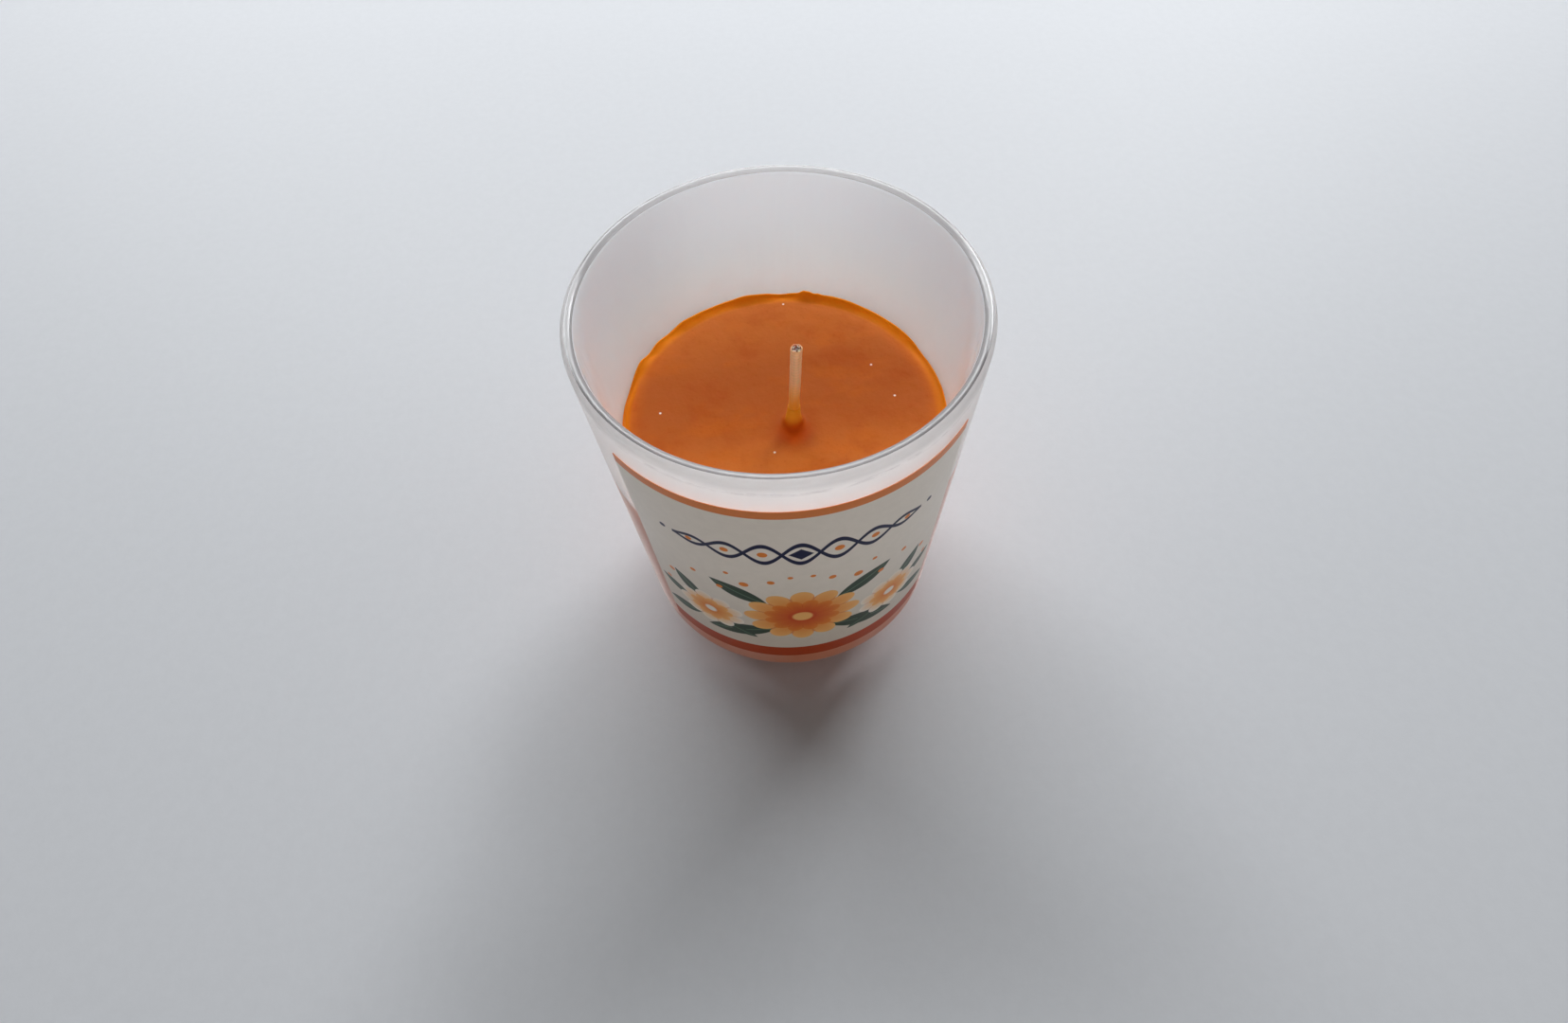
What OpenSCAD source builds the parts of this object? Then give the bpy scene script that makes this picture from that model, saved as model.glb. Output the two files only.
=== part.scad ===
// Scented candle in a frosted glass jar.
// The origin is the middle of the jar's foot on the table, +Z is up, and the label faces -Y.

/* [Jar] */
// Overall height
jar_h = 80; // [60:1:120]
// Outside diameter of the wall line carried up to the top of the rim
rim_d = 71.6; // [66:0.2:90]
// Outside diameter of the wall line carried down to the table
foot_d = 66.4; // [56:0.2:72]
// Wall thickness at the rim, which is fully rounded
rim_wall = 2.2; // [1.6:0.1:4]
// Wall thickness at the inside floor
floor_wall = 5; // [3:0.1:8]
// Thickness of the glass floor
floor_t = 6; // [4:0.5:12]
// Radius of the heel between wall and foot
heel_r = 4; // [1:0.5:7]
// Radius of the inside corner between wall and floor
floor_r = 5; // [1:0.5:9]
// Diameter of the hollow under the foot
punt_d = 48; // [20:1:50]
// Depth of the hollow under the foot
punt_depth = 1.6; // [0.5:0.1:3]

/* [Label] */
// Width of the label, measured round the jar
label_w = 63.5; // [20:0.5:90]
// Distance from the top of the rim down to the label's upper edge
label_drop = 8.1; // [4:0.1:30]
// Height of the label's lower edge above the table
label_foot = 8.4; // [8:0.1:20]
// Thickness of the film
label_t = 0.1; // [0.06:0.02:0.3]
// Thickness of the adhesive between film and glass
label_glue = 0.03; // [0.02:0.01:0.1]

/* [Wax] */
// Depth from the top of the rim down to the edge of the wax
fill_gap = 28.5; // [10:0.5:40]
// Height that the wax climbs the glass
climb_h = 1; // [0.4:0.1:1.6]
// Radius of the wax's curve at the glass
climb_r = 2; // [2:0.1:3.5]
// How far the middle of the surface has sunk
wax_sink = 1; // [0.5:0.1:3]
// Distance from the glass to the edge of the sunken middle
sink_inset = 4; // [4:0.5:12]
// Diameter of the dimple round the wick
dimple_d = 6; // [5:0.5:12]
// Depth of the dimple round the wick
dimple_depth = 0.9; // [0.3:0.1:2]
// Height that the wax climbs the wick
collar_h = 4.5; // [2.5:0.5:8]
// Width of the wax that climbs the wick, at its foot
collar_w = 1; // [0.5:0.1:1.3]
// Width of the wax that climbs the wick, at its top
collar_film = 0.1; // [0.05:0.05:0.3]

/* [Wick] */
// Diameter of the core thread
core_d = 0.7; // [0.4:0.1:1]
// Outside diameter of the braid
braid_d = 1.7; // [1.4:0.1:2.6]
// Thickness of the wax coat on the braid
coat_t = 0.25; // [0.1:0.05:0.6]
// Height that the wick stands above the sunken middle of the wax
wick_out = 22; // [10:0.5:30]
// Lean of the wick from upright, in degrees
wick_lean = 3.5; // [0:0.5:6]
// Compass direction of the lean, in degrees from +X
lean_way = -46; // [-180:1:180]

/* [Wick foot] */
// Diameter of the stamped metal plate
plate_d = 20; // [14:0.5:30]
// Thickness of the sheet metal
sheet_t = 0.3; // [0.2:0.05:0.5]
// Height of the neck that grips the wick
neck_h = 5; // [3:0.5:10]
// Radius where the neck is drawn up out of the plate
neck_r = 0.8; // [0.3:0.1:1.5]
// Height of the stiffening lip round the plate
lip_h = 0.8; // [0.6:0.1:2]
// Clearance between neck and wick
neck_gap = 0.05; // [0.02:0.01:0.1]
// Diameter of the spot of glue
glue_d = 9; // [5:0.5:13]
// Thickness of the spot of glue
glue_t = 0.5; // [0.2:0.1:1]

/* [Hidden] */
$fn = 128;

// Room that cutting shapes reach past what they cut
over = 1;

// Outside wall: a cone that the round rim and the heel are tangent to
wall_lean = atan((rim_d - foot_d) / 2 / jar_h);
function wall_r(z) = foot_d / 2 + z * tan(wall_lean);

// Rim: a full round whose circle is tangent to the outside wall
rim_r = rim_wall / 2;
rim_z = jar_h - rim_r;
rim_x = wall_r(rim_z) - rim_r / cos(wall_lean);

// Inside wall: from the floor, tangent to the inner side of the rim's circle
cavity_foot_r = wall_r(floor_t) - floor_wall;
rim_rise = [rim_x - cavity_foot_r, rim_z - floor_t];
cavity_lean = atan(rim_rise.x / rim_rise.y) - asin(rim_r / norm(rim_rise));
function cavity_r(z) = cavity_foot_r + (z - floor_t) * tan(cavity_lean);

// Levels of the wax: at the glass, where its curve ends, and in the sunken middle
wax_edge_z = jar_h - fill_gap;
wax_z = wax_edge_z - climb_h;
wax_mid_z = wax_z - wax_sink;

// Wick: a straight run from the underside of the plate to the tip
plate_z = floor_t + glue_t;
wick_d = braid_d + 2 * coat_t;
surface_up = (wax_mid_z - plate_z) / cos(wick_lean);
wick_up = surface_up + wick_out / cos(wick_lean);

// Radius of a ball that leaves a hollow of a given width and depth
function ball_r(width, depth) = (width * width / 4 + depth * depth) / (2 * depth);

// Half section of a round vessel: flat floor, round corner and leaning wall, closed by the points at its top
module vessel_half(foot_r, foot_z, lean, corner, top) {
    middle = [foot_r + corner * tan(lean) - corner / cos(lean), foot_z + corner];
    floor = [[0, foot_z], [middle.x, foot_z], middle];
    wall_foot = middle + corner * [cos(lean), -sin(lean)];
    polygon(concat(floor, [wall_foot], top));
    translate(middle) circle(corner);
}

// Half section of the space inside the jar between two levels, with its lower corner rounded
module cavity_half(level, corner, top_z) {
    vessel_half(cavity_r(level), level, cavity_lean, corner, [[cavity_r(top_z), top_z], [0, top_z]]);
}

// Half section of the air over the wax, which climbs the glass and has sunk in the middle
module air_half() {
    sink_ball = ball_r(2 * (cavity_r(wax_z) - sink_inset), wax_sink);
    clear_r = cavity_r(wax_z) - (sink_inset + climb_r) / 2;
    cavity_half(wax_z, climb_r, jar_h);
    intersection() {
        translate([0, wax_mid_z + sink_ball]) circle(sink_ball, $fn = 4 * $fn);
        translate([0, wax_mid_z - over]) square([clear_r, wax_sink + 2 * over]);
    }
}

// Places shapes along the wick, from the underside of the plate upwards
module along_wick() {
    translate([0, 0, plate_z]) rotate([0, 0, lean_way]) rotate([0, wick_lean, 0]) children();
}

// A run of wick of one diameter, cut level where it stands on the glue
module wick_run(d, up) {
    difference() {
        along_wick() translate([0, 0, -over]) cylinder(d = d, h = up + over);
        translate([-plate_d / 2, -plate_d / 2, plate_z - 2 * over]) cube([plate_d, plate_d, 2 * over]);
    }
}

// A sleeve of wick between two diameters
module wick_sleeve(outer, inner) {
    difference() {
        wick_run(outer, wick_up);
        along_wick() translate([0, 0, -2 * over]) cylinder(d = inner, h = wick_up + 4 * over);
    }
}

// Tumbler: round rim, tapered wall, thick floor and a shallow hollow under the foot
module glass_jar() {
    rim = [rim_x, rim_z];
    outer_touch = rim + rim_r * [cos(wall_lean), -sin(wall_lean)];
    inner_touch = rim - rim_r * [cos(cavity_lean), -sin(cavity_lean)];
    rim_points = [outer_touch, rim, inner_touch, [0, inner_touch.y]];
    punt_ball = ball_r(punt_d, punt_depth);
    color([0.90, 0.88, 0.89, 0.75])
    rotate_extrude()
    difference() {
        union() {
            vessel_half(foot_d / 2, 0, wall_lean, heel_r, rim_points);
            translate(rim) circle(rim_r);
        }
        cavity_half(floor_t, floor_r, inner_touch.y);
        translate([0, punt_depth - punt_ball]) circle(punt_ball, $fn = 4 * $fn);
    }
}

// Film wrapped on the front of the outside wall
module front_label() {
    top_z = jar_h - label_drop;
    half_way = label_w / 2 / wall_r((label_foot + top_z) / 2) * 180 / PI;
    inner = label_glue / cos(wall_lean);
    outer = inner + label_t / cos(wall_lean);
    color([0.93, 0.92, 0.89])
    rotate([0, 0, -90 - half_way])
    rotate_extrude(angle = 2 * half_way)
    polygon([
        [wall_r(label_foot) + inner, label_foot],
        [wall_r(label_foot) + outer, label_foot],
        [wall_r(top_z) + outer, top_z],
        [wall_r(top_z) + inner, top_z]
    ]);
}

// Poured wax: fills the jar to its level, sunken, and climbing a little at the glass and at the wick
module wax_fill() {
    dimple_ball = ball_r(dimple_d, dimple_depth);
    color([0.80, 0.36, 0.07])
    difference() {
        union() {
            difference() {
                rotate_extrude() difference() {
                    cavity_half(floor_t, floor_r, wax_edge_z);
                    air_half();
                }
                along_wick() translate([0, 0, surface_up - dimple_depth + dimple_ball]) sphere(dimple_ball);
            }
            along_wick() translate([0, 0, surface_up]) wick_collar();
        }
        wick_run(wick_d, wick_up + over);
        plate_blank();
        neck_blank();
        glue_dot();
    }
}

// Wax that climbs the wick, in a hollow curve from its foot to a thin film
module wick_collar() {
    spread = collar_w - collar_film;
    curve_r = (collar_h * collar_h + spread * spread) / (2 * spread);
    buried = 2 * dimple_depth;
    rotate_extrude()
    difference() {
        translate([0, -buried]) square([wick_d / 2 + collar_w, collar_h + buried]);
        translate([wick_d / 2 + collar_film + curve_r, collar_h]) circle(curve_r);
    }
}

// Wax skin round the braid
module wick_coat() {
    color([0.88, 0.77, 0.66]) wick_sleeve(wick_d, braid_d);
}

// Round braid of cotton
module wick_braid() {
    color([0.75, 0.62, 0.48]) wick_sleeve(braid_d, core_d);
}

// Thread in the middle of the braid
module wick_core() {
    color([0.60, 0.58, 0.58]) wick_run(core_d, wick_up);
}

// Plate of the wick foot with its stiffening lip, without the hole for the wick
module plate_blank() {
    translate([0, 0, plate_z])
    rotate_extrude()
    union() {
        square([plate_d / 2, sheet_t]);
        translate([plate_d / 2 - sheet_t, 0]) square([sheet_t, lip_h]);
    }
}

// Neck of the wick foot, without the hole for the wick; the curve at its root is sunk so that no edge shows
module neck_blank() {
    outer = wick_d / 2 + neck_gap + sheet_t;
    curve_z = sheet_t + neck_r - (outer + neck_r) * tan(wick_lean);
    intersection() {
        along_wick()
        rotate_extrude()
        difference() {
            translate([0, -over]) square([outer + neck_r, neck_h + over]);
            translate([outer, curve_z]) square([neck_r + over, neck_h]);
            translate([outer + neck_r, curve_z]) circle(neck_r);
        }
        translate([0, 0, plate_z]) cylinder(d = plate_d, h = 2 * neck_h);
    }
}

// Stamped metal foot: a plate with a neck drawn up round the wick
module wick_sustainer() {
    color([0.72, 0.73, 0.75])
    difference() {
        union() {
            plate_blank();
            neck_blank();
        }
        along_wick() translate([0, 0, -2 * over]) cylinder(d = wick_d + 2 * neck_gap, h = neck_h + 4 * over);
    }
}

// Hot-melt glue between the plate and the glass floor
module glue_dot() {
    color([0.92, 0.90, 0.82]) translate([0, 0, floor_t]) cylinder(d = glue_d, h = glue_t);
}

glass_jar();
front_label();
wax_fill();
wick_coat();
wick_braid();
wick_core();
wick_sustainer();
glue_dot();
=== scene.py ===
"""Scented candle in a frosted glass jar: glass, label, wax and wick, dressed on the solids of the part."""

import math

import bmesh
import bpy
from bpy.props import FloatProperty, FloatVectorProperty, IntProperty, PointerProperty
from mathutils import Matrix, Vector, noise


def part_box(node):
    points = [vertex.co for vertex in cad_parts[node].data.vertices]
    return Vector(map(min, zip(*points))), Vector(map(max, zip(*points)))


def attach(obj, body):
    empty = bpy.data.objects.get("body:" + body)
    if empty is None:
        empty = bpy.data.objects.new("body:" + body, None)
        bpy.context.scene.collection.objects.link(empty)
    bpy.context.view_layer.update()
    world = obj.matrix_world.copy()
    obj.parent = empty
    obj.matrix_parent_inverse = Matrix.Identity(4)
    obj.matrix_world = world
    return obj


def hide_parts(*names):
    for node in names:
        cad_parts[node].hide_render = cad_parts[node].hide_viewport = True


bl_info = {
    "name": "Frosted Jar Candle",
    "version": (1, 0, 0),
    "blender": (4, 5, 0),
    "location": "3D View > Sidebar > Candle",
    "description": "Models a scented candle in a frosted glass jar and sets it on a pale table",
    "category": "Object",
}

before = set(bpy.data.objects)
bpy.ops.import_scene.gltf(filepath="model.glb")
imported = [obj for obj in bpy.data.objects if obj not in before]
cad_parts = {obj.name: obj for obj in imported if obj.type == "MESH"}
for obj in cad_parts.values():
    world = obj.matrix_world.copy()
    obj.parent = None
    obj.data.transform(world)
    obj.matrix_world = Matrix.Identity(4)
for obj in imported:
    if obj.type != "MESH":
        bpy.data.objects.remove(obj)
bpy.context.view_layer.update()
MM = 0.001
HAIR = 1e-6  # too small to show
EASE = 0.98  # share of its radius that a rounded corner gets, so that neighbouring arcs stay apart
WAX_IOR = 1.44
JAR_TOP = round(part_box("glass_jar")[1].z, 4)
LABEL_LOW = round(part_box("front_label")[0].z, 5)
LABEL_HIGH = round(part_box("front_label")[1].z, 5)


def length(name, description, default):
    """A length that the panel shows in the scene's unit."""
    return FloatProperty(name=name, description=description, default=default, unit="LENGTH", precision=5)


def tint(name, description, default):
    """A colour, in linear values."""
    return FloatVectorProperty(name=name, description=description, default=default, subtype="COLOR", min=0, max=1)


def power(name, description, default):
    """The power of a lamp."""
    return FloatProperty(name=name, description=description, default=default, min=0, unit="POWER")


class JarSettings(bpy.types.PropertyGroup):
    """Sizes and colours of the glass tumbler."""

    height: length("Height", "Height of the jar", JAR_TOP)
    rim_diameter: length("Rim diameter", "Outside wall line carried up to the top", 0.0716)
    foot_diameter: length("Foot diameter", "Outside wall line carried down to the table", 0.0664)
    rim_wall: length("Rim wall", "Thickness of the round rim", 0.0022)
    floor_wall: length("Wall at the floor", "Thickness of the wall at the inside floor", 0.005)
    floor_thickness: length("Floor", "Thickness of the glass floor", 0.006)
    heel_radius: length("Heel", "Radius between wall and foot", 0.004)
    floor_radius: length("Inside corner", "Radius between inside wall and floor", 0.005)
    punt_diameter: length("Hollow diameter", "Diameter of the hollow under the foot", 0.048)
    punt_depth: length("Hollow depth", "Depth of the hollow under the foot", 0.0016)
    clear_band: length("Clear rim", "Height of the clear rim above the frosting", 0.002)
    steps: IntProperty(name="Steps", description="Steps round the jar", default=384, min=24, max=512)
    glass_tint: tint("Glass", "Tint of the smooth glass", (0.71, 0.775, 0.845))
    film_tint: tint("Film", "Tint of the inside close to the wax", (0.84, 0.975, 0.99))
    rim_tint: tint("Rim", "Tint of the solid glass of the rim", (0.11, 0.108, 0.109))
    # Painted light: the lighter inner half of the rim, for its bright inner edge.
    lit_tint: tint("Rim light", "Tint of the rim towards the inside", (0.24, 0.237, 0.239))
    frost_tint: tint("Frost", "Colour of the frosting", (0.80, 0.785, 0.783))
    glow_tint: tint("Glow", "Colour of the frosting in front of the wax", (0.66, 0.19, 0.062))
    smudge_tint: tint("Smudge", "Colour of the smudges under the rim", (0.32, 0.30, 0.31))


class LabelSettings(bpy.types.PropertyGroup):
    """Sizes and colours of the wrapped label."""

    width: length("Width", "Width measured round the jar", 0.0635)
    film: length("Film", "Thickness of the film", 0.0001)
    glue: length("Glue", "Thickness of the adhesive", 0.00003)
    top_stripe: length("Top stripe", "Height of the stripe at the top", 0.0022)
    foot_stripe: length("Bottom stripe", "Height of the stripe at the bottom", 0.005)
    paper: tint("Field", "Colour of the unprinted field", (0.87, 0.805, 0.73))
    # Partly the wax behind the film, partly painted shade towards the foot of the label.
    backing_and_shade: tint("Backing", "Wax that shows faintly through the film", (0.32, 0.25, 0.16))
    stripe: tint("Top stripe", "Burnt orange of the stripe at the top", (0.76, 0.24, 0.072))
    # Printed red orange, made darker as painted shade at the foot of the label.
    foot_tint: tint("Bottom stripe", "Red orange of the stripe at the bottom", (0.41, 0.047, 0.003))
    petal: tint("Petal", "Orange of the petals", (0.80, 0.24, 0.035))
    petal_tip: tint("Petal tip", "Light tips of the petals", (0.92, 0.50, 0.17))
    heart: tint("Heart", "Red orange in the middle of the flowers", (0.62, 0.085, 0.02))
    leaf: tint("Leaf", "Dark green of the leaves", (0.035, 0.062, 0.042))
    navy: tint("Navy", "Navy of the ornament", (0.010, 0.014, 0.055))


class WaxSettings(bpy.types.PropertyGroup):
    """Sizes and colours of the poured wax."""

    fill_gap: length("Fill gap", "From the rim down to the edge of the wax", 0.0285)
    climb_height: length("Climb", "Height that the wax climbs the glass", 0.001)
    climb_radius: length("Climb radius", "Radius of the curve at the glass", 0.002)
    sink: length("Sink", "How far the middle has sunk", 0.001)
    sink_inset: length("Sink inset", "From the glass to the edge of the sunken middle", 0.004)
    dimple_radius: length("Dimple", "Radius of the dimple at the wick", 0.0032)
    dimple_depth: length("Dimple depth", "Depth of the dimple at the wick", 0.00025)
    collar_height: length("Collar", "Height that the wax climbs the wick", 0.0054)
    collar_fall: length("Collar fall", "Distance from the wick over which the collar falls away", 0.00035)
    collar_film: length("Collar film", "Width of the collar at its top", 0.0001)
    steps: IntProperty(name="Steps", description="Steps round the wax", default=400, min=24, max=512)
    middle: tint("Middle", "Colour in the middle", (0.405, 0.087, 0.0105))
    # Painted light: the paler wax in front and behind.
    pale: tint("Pale", "Colour of the paler wax in front and behind", (0.56, 0.142, 0.019))
    edge: tint("Edge", "Colour at the glass", (0.57, 0.120, 0.004))
    # Used for the mottling and for painted shade in the dimple.
    mottle_and_shade: tint("Deep", "Colour in the mottling", (0.36, 0.052, 0.003))
    # Partly painted shade of the wick and the hollow.
    hollow: tint("Hollow", "Colour in the dimple", (0.57, 0.069, 0.002))
    collar: tint("Collar", "Colour of the thin wax on the wick", (0.85, 0.29, 0.02))
    # Painted light: the thin lip at the glass, and brighter still at the back.
    lip: tint("Lip", "Colour of the thin lip on the glass", (0.71, 0.20, 0.005))
    lit_lip: tint("Lit lip", "Colour of the lip where light shines through it", (1.0, 0.31, 0.006))
    grain: tint("Grain", "Colour of the pale grains", (0.92, 0.82, 0.70))


class WickSettings(bpy.types.PropertyGroup):
    """Sizes and colours of the wick and its foot."""

    core_diameter: length("Core", "Diameter of the core thread", 0.0007)
    braid_diameter: length("Braid", "Outside diameter of the braid", 0.0017)
    coat: length("Coat", "Thickness of the wax coat", 0.00025)
    foot_height: length("Foot", "Height of the underside of the metal plate", 0.0065)
    top: length("Tip", "Height of the wick's tip", round(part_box("wick_core")[1].z, 4))
    lean: FloatProperty(name="Lean", description="Lean from upright", default=math.radians(3.5), subtype="ANGLE")
    lean_way: FloatProperty(
        name="Lean way", description="Direction of the lean", default=math.radians(-46), subtype="ANGLE"
    )
    plate_radius: length("Plate", "Radius of the metal plate", 0.01)
    sheet: length("Sheet", "Thickness of the sheet metal", 0.0003)
    lip: length("Lip", "Height of the lip round the plate", 0.0008)
    neck_radius: length("Neck", "Outside radius of the neck", 0.00145)
    neck_height: length("Neck height", "Height of the neck above the plate's underside", 0.005)
    neck_root: length("Neck root", "Radius at the root of the neck", 0.0008)
    glue_radius: length("Glue", "Radius of the spot of glue", 0.0045)
    skin: tint("Skin", "Colour of the wax coat", (0.98, 0.55, 0.29))
    soaked: tint("Soaked", "Colour of the coat where orange wax shows in it", (0.96, 0.42, 0.12))
    drawn: tint("Drawn wax", "Colour of the wax drawn up at the foot", (0.85, 0.29, 0.02))
    # Painted shade between the strands; the same colour also marks stains on the wick.
    gap: tint("Gaps", "Colour between the strands", (0.60, 0.34, 0.17))
    cotton: tint("Cotton", "Colour of the cotton", (0.78, 0.66, 0.54))
    thread: tint("Thread", "Colour of the core thread", (0.24, 0.23, 0.25))
    tin: tint("Tin", "Colour of the tin plate", (0.75, 0.76, 0.78))
    melt: tint("Melt", "Colour of the hot-melt glue", (0.80, 0.77, 0.66))


class StageSettings(bpy.types.PropertyGroup):
    """The table, the light and the camera."""

    table: tint("Table", "Colour of the table", (0.69, 0.705, 0.73))
    backdrop: tint("Backdrop", "Colour of the room behind the table", (0.78, 0.80, 0.84))
    window: power("Windows", "Power of a window pane", 4.5)
    ceiling: power("Ceiling", "Power of the ceiling light", 0.2)
    side: power("Side", "Power of the light on the right", 1.2)
    front: power("Front", "Power of the low light in front", 2.3)
    room: tint("Room", "Light of the room in front", (0.24, 0.217, 0.191))
    ceiling_tint: tint("Ceiling", "Light of the ceiling", (0.03, 0.03, 0.03))
    sky: tint("Sky", "Light from behind", (0.66, 0.675, 0.70))
    lens: FloatProperty(name="Lens", description="Focal length", default=18.696, subtype="DISTANCE_CAMERA")


class Value:
    """An output socket. Sums and products with it add Math nodes."""

    def __init__(self, finish, socket):
        self.finish = finish
        self.socket = socket

    def maths(self, operation, *values, clamp=False):
        settings = {"operation": operation, "use_clamp": clamp}
        return self.finish.node("Math", settings, dict(enumerate(values)))

    def __add__(self, other):
        return self.maths("ADD", self, other)

    __radd__ = __add__

    def __sub__(self, other):
        return self.maths("SUBTRACT", self, other)

    def __rsub__(self, other):
        return self.maths("SUBTRACT", other, self)

    def __mul__(self, other):
        return self.maths("MULTIPLY", self, other)

    __rmul__ = __mul__

    def __truediv__(self, other):
        return self.maths("DIVIDE", self, other)

    def __rtruediv__(self, other):
        return self.maths("DIVIDE", other, self)

    def __pow__(self, other):
        return self.maths("POWER", self, other)

    def __abs__(self):
        return self.maths("ABSOLUTE", self)

    def most(self, other):
        return self.maths("MAXIMUM", self, other)

    def sine(self):
        return self.maths("SINE", self)

    def cosine(self):
        return self.maths("COSINE", self)

    def inside(self, blur):
        """1 where the value is above zero, with an edge that is blur wide."""
        return self.maths("MULTIPLY_ADD", self, 1 / blur, 0.5, clamp=True)


class Nodes:
    """A node tree that grows from expressions."""

    def __init__(self, tree):
        self.tree = tree

    def node(self, kind, settings=None, sockets=None, out=0):
        """Adds a node: its settings first, then the values or links of its sockets."""
        made = self.tree.nodes.new("ShaderNode" + kind)
        for name, value in (settings or {}).items():
            setattr(made, name, value)
        for key, value in (sockets or {}).items():
            self.feed(made.inputs[key], value)
        return Value(self, made.outputs[out])

    def feed(self, socket, value):
        """Links a value to a socket, or sets it there."""
        if isinstance(value, Value):
            self.tree.links.new(value.socket, socket)
        else:
            socket.default_value = value

    def mix(self, factor, first, second):
        """A colour between two colours."""
        # Sockets 6 and 7 and output 2 are the colours.
        sockets = {0: factor, 6: opaque(first), 7: opaque(second)}
        return self.node("Mix", {"data_type": "RGBA"}, sockets, out=2)

    def split(self, vector):
        """The three parts of a vector."""
        first = self.node("SeparateXYZ", None, {0: vector})
        return [Value(self, part) for part in first.socket.node.outputs]

    def stretch(self, place, factors):
        """A place multiplied axis by axis, which draws a pattern out."""
        return self.node("VectorMath", {"operation": "MULTIPLY"}, {0: place, 1: factors})

    def noise(self, place, scale, detail=2.0, rough=0.5):
        sockets = {"Vector": place, "Scale": scale, "Detail": detail, "Roughness": rough}
        return self.node("TexNoise", None, sockets)

    def seen(self):
        """1 on the rays by which the camera sees a surface, straight, mirrored or through glass."""
        rays = self.node("LightPath").socket.node.outputs
        names = "Is Camera Ray", "Is Glossy Ray", "Is Transmission Ray"
        straight, mirrored, through = (Value(self, rays[name]) for name in names)
        return straight.most(mirrored).most(through)

    def ramp(self, value, low, high):
        """0 below low and 1 above high, with a soft passage between them."""
        sockets = {"Value": value, "From Min": low, "From Max": high}
        return self.node("MapRange", {"interpolation_type": "SMOOTHSTEP"}, sockets)


class Finish(Nodes):
    """A material with one Principled shader."""

    def __init__(self, name, constants):
        self.material = bpy.data.materials.new(name)
        self.material.use_nodes = True
        super().__init__(self.material.node_tree)
        self.shader = self.tree.nodes["Principled BSDF"]
        for socket, value in constants.items():
            self.shader.inputs[socket].default_value = value

    def place(self):
        """Where a point of the piece lies, in millimetres."""
        here = self.node("TexCoord", out="Object")
        return self.node("VectorMath", {"operation": "SCALE"}, {0: here, "Scale": in_mm(1.0)})

    def set(self, socket, value):
        self.feed(self.shader.inputs[socket], value)

    def bump(self, height, depth):
        """Raises the surface by height times depth, in metres."""
        sockets = {"Strength": 1.0, "Distance": depth, "Height": height}
        self.set("Normal", self.node("Bump", None, sockets))


def opaque(colour):
    """A colour with full alpha, or a linked colour as it is."""
    return colour if isinstance(colour, Value) else (*colour[:3], 1.0)


def shade(colour, share):
    """A colour made darker, or lighter with a share over 1."""
    return [part * share for part in colour]


def in_mm(metres):
    """A length as the materials count it."""
    return metres * 1000.0


def distance(dx, dy):
    """The distance of two places, from its parts along X and Y."""
    return (dx * dx + dy * dy) ** 0.5


class JarLines:
    """The wall lines of the jar, worked out from its settings."""

    def __init__(self, jar):
        self.slope = (jar.rim_diameter - jar.foot_diameter) / 2 / jar.height
        self.lean = math.atan(self.slope)
        self.foot = jar.foot_diameter / 2
        self.floor = jar.floor_thickness
        self.rim = jar.rim_wall / 2
        rim_z = jar.height - self.rim
        rim_x = self.wall(rim_z) - self.rim / math.cos(self.lean)
        self.cavity_foot = self.wall(self.floor) - jar.floor_wall
        rise = Vector((rim_x - self.cavity_foot, rim_z - self.floor))
        self.cavity_slope = math.tan(math.atan(rise.x / rise.y) - math.asin(self.rim / rise.length))

    def wall(self, z):
        return self.foot + z * self.slope

    def cavity(self, z):
        return self.cavity_foot + (z - self.floor) * self.cavity_slope


def half_section(corners, closed=False):
    """Draws a half section through corners (radius, height), and rounds those that add a radius and a count."""
    bm = bmesh.new()
    verts = [bm.verts.new((corner[0], 0, corner[1])) for corner in corners]
    following = verts[1:] + verts[:1] if closed else verts[1:]
    for pair in zip(verts, following):
        bm.edges.new(pair)
    for vert, corner in zip(verts, corners):
        if len(corner) == 4:
            first, second = (edge.other_vert(vert).co - vert.co for edge in vert.link_edges)
            reach = corner[2] / math.tan(first.angle(second) / 2)
            bmesh.ops.bevel(
                bm, geom=[vert], offset=reach, offset_type="OFFSET", segments=corner[3],
                profile=0.5, affect="VERTICES", clamp_overlap=False, material=-1,
            )
    return bm


def spin_copies(bm, count):
    """Sets copies of all that is there round the Z axis."""
    bmesh.ops.spin(
        bm, geom=bm.verts[:] + bm.edges[:] + bm.faces[:], cent=(0, 0, 0), axis=(0, 0, 1),
        angle=math.tau * (count - 1) / count, steps=count - 1, use_duplicate=True,
    )


def turn(bm, steps, sectors=8):
    """Turns a half section into a closed round body: one sector, then its copies."""
    bmesh.ops.spin(
        bm, geom=bm.verts[:] + bm.edges[:], cent=(0, 0, 0), axis=(0, 0, 1),
        angle=math.tau / sectors, steps=steps // sectors,
    )
    spin_copies(bm, sectors)
    bmesh.ops.remove_doubles(bm, verts=bm.verts[:], dist=HAIR)
    bmesh.ops.recalc_face_normals(bm, faces=bm.faces[:])


def split_between(bm, low, high, cuts):
    """Cuts the edges of a half section whose ends lie between two corners, for a finer surface."""
    edges = [
        edge for edge in bm.edges
        if all(low[0] <= v.co.x <= high[0] and low[1] <= v.co.z <= high[1] for v in edge.verts)
    ]
    bmesh.ops.subdivide_edges(bm, edges=edges, cuts=cuts)


def smooth_step(value, low, high):
    """0 below low and 1 above high, with a soft passage between them."""
    part = min(max((value - low) / (high - low), 0), 1)
    return part * part * (3 - 2 * part)


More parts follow.
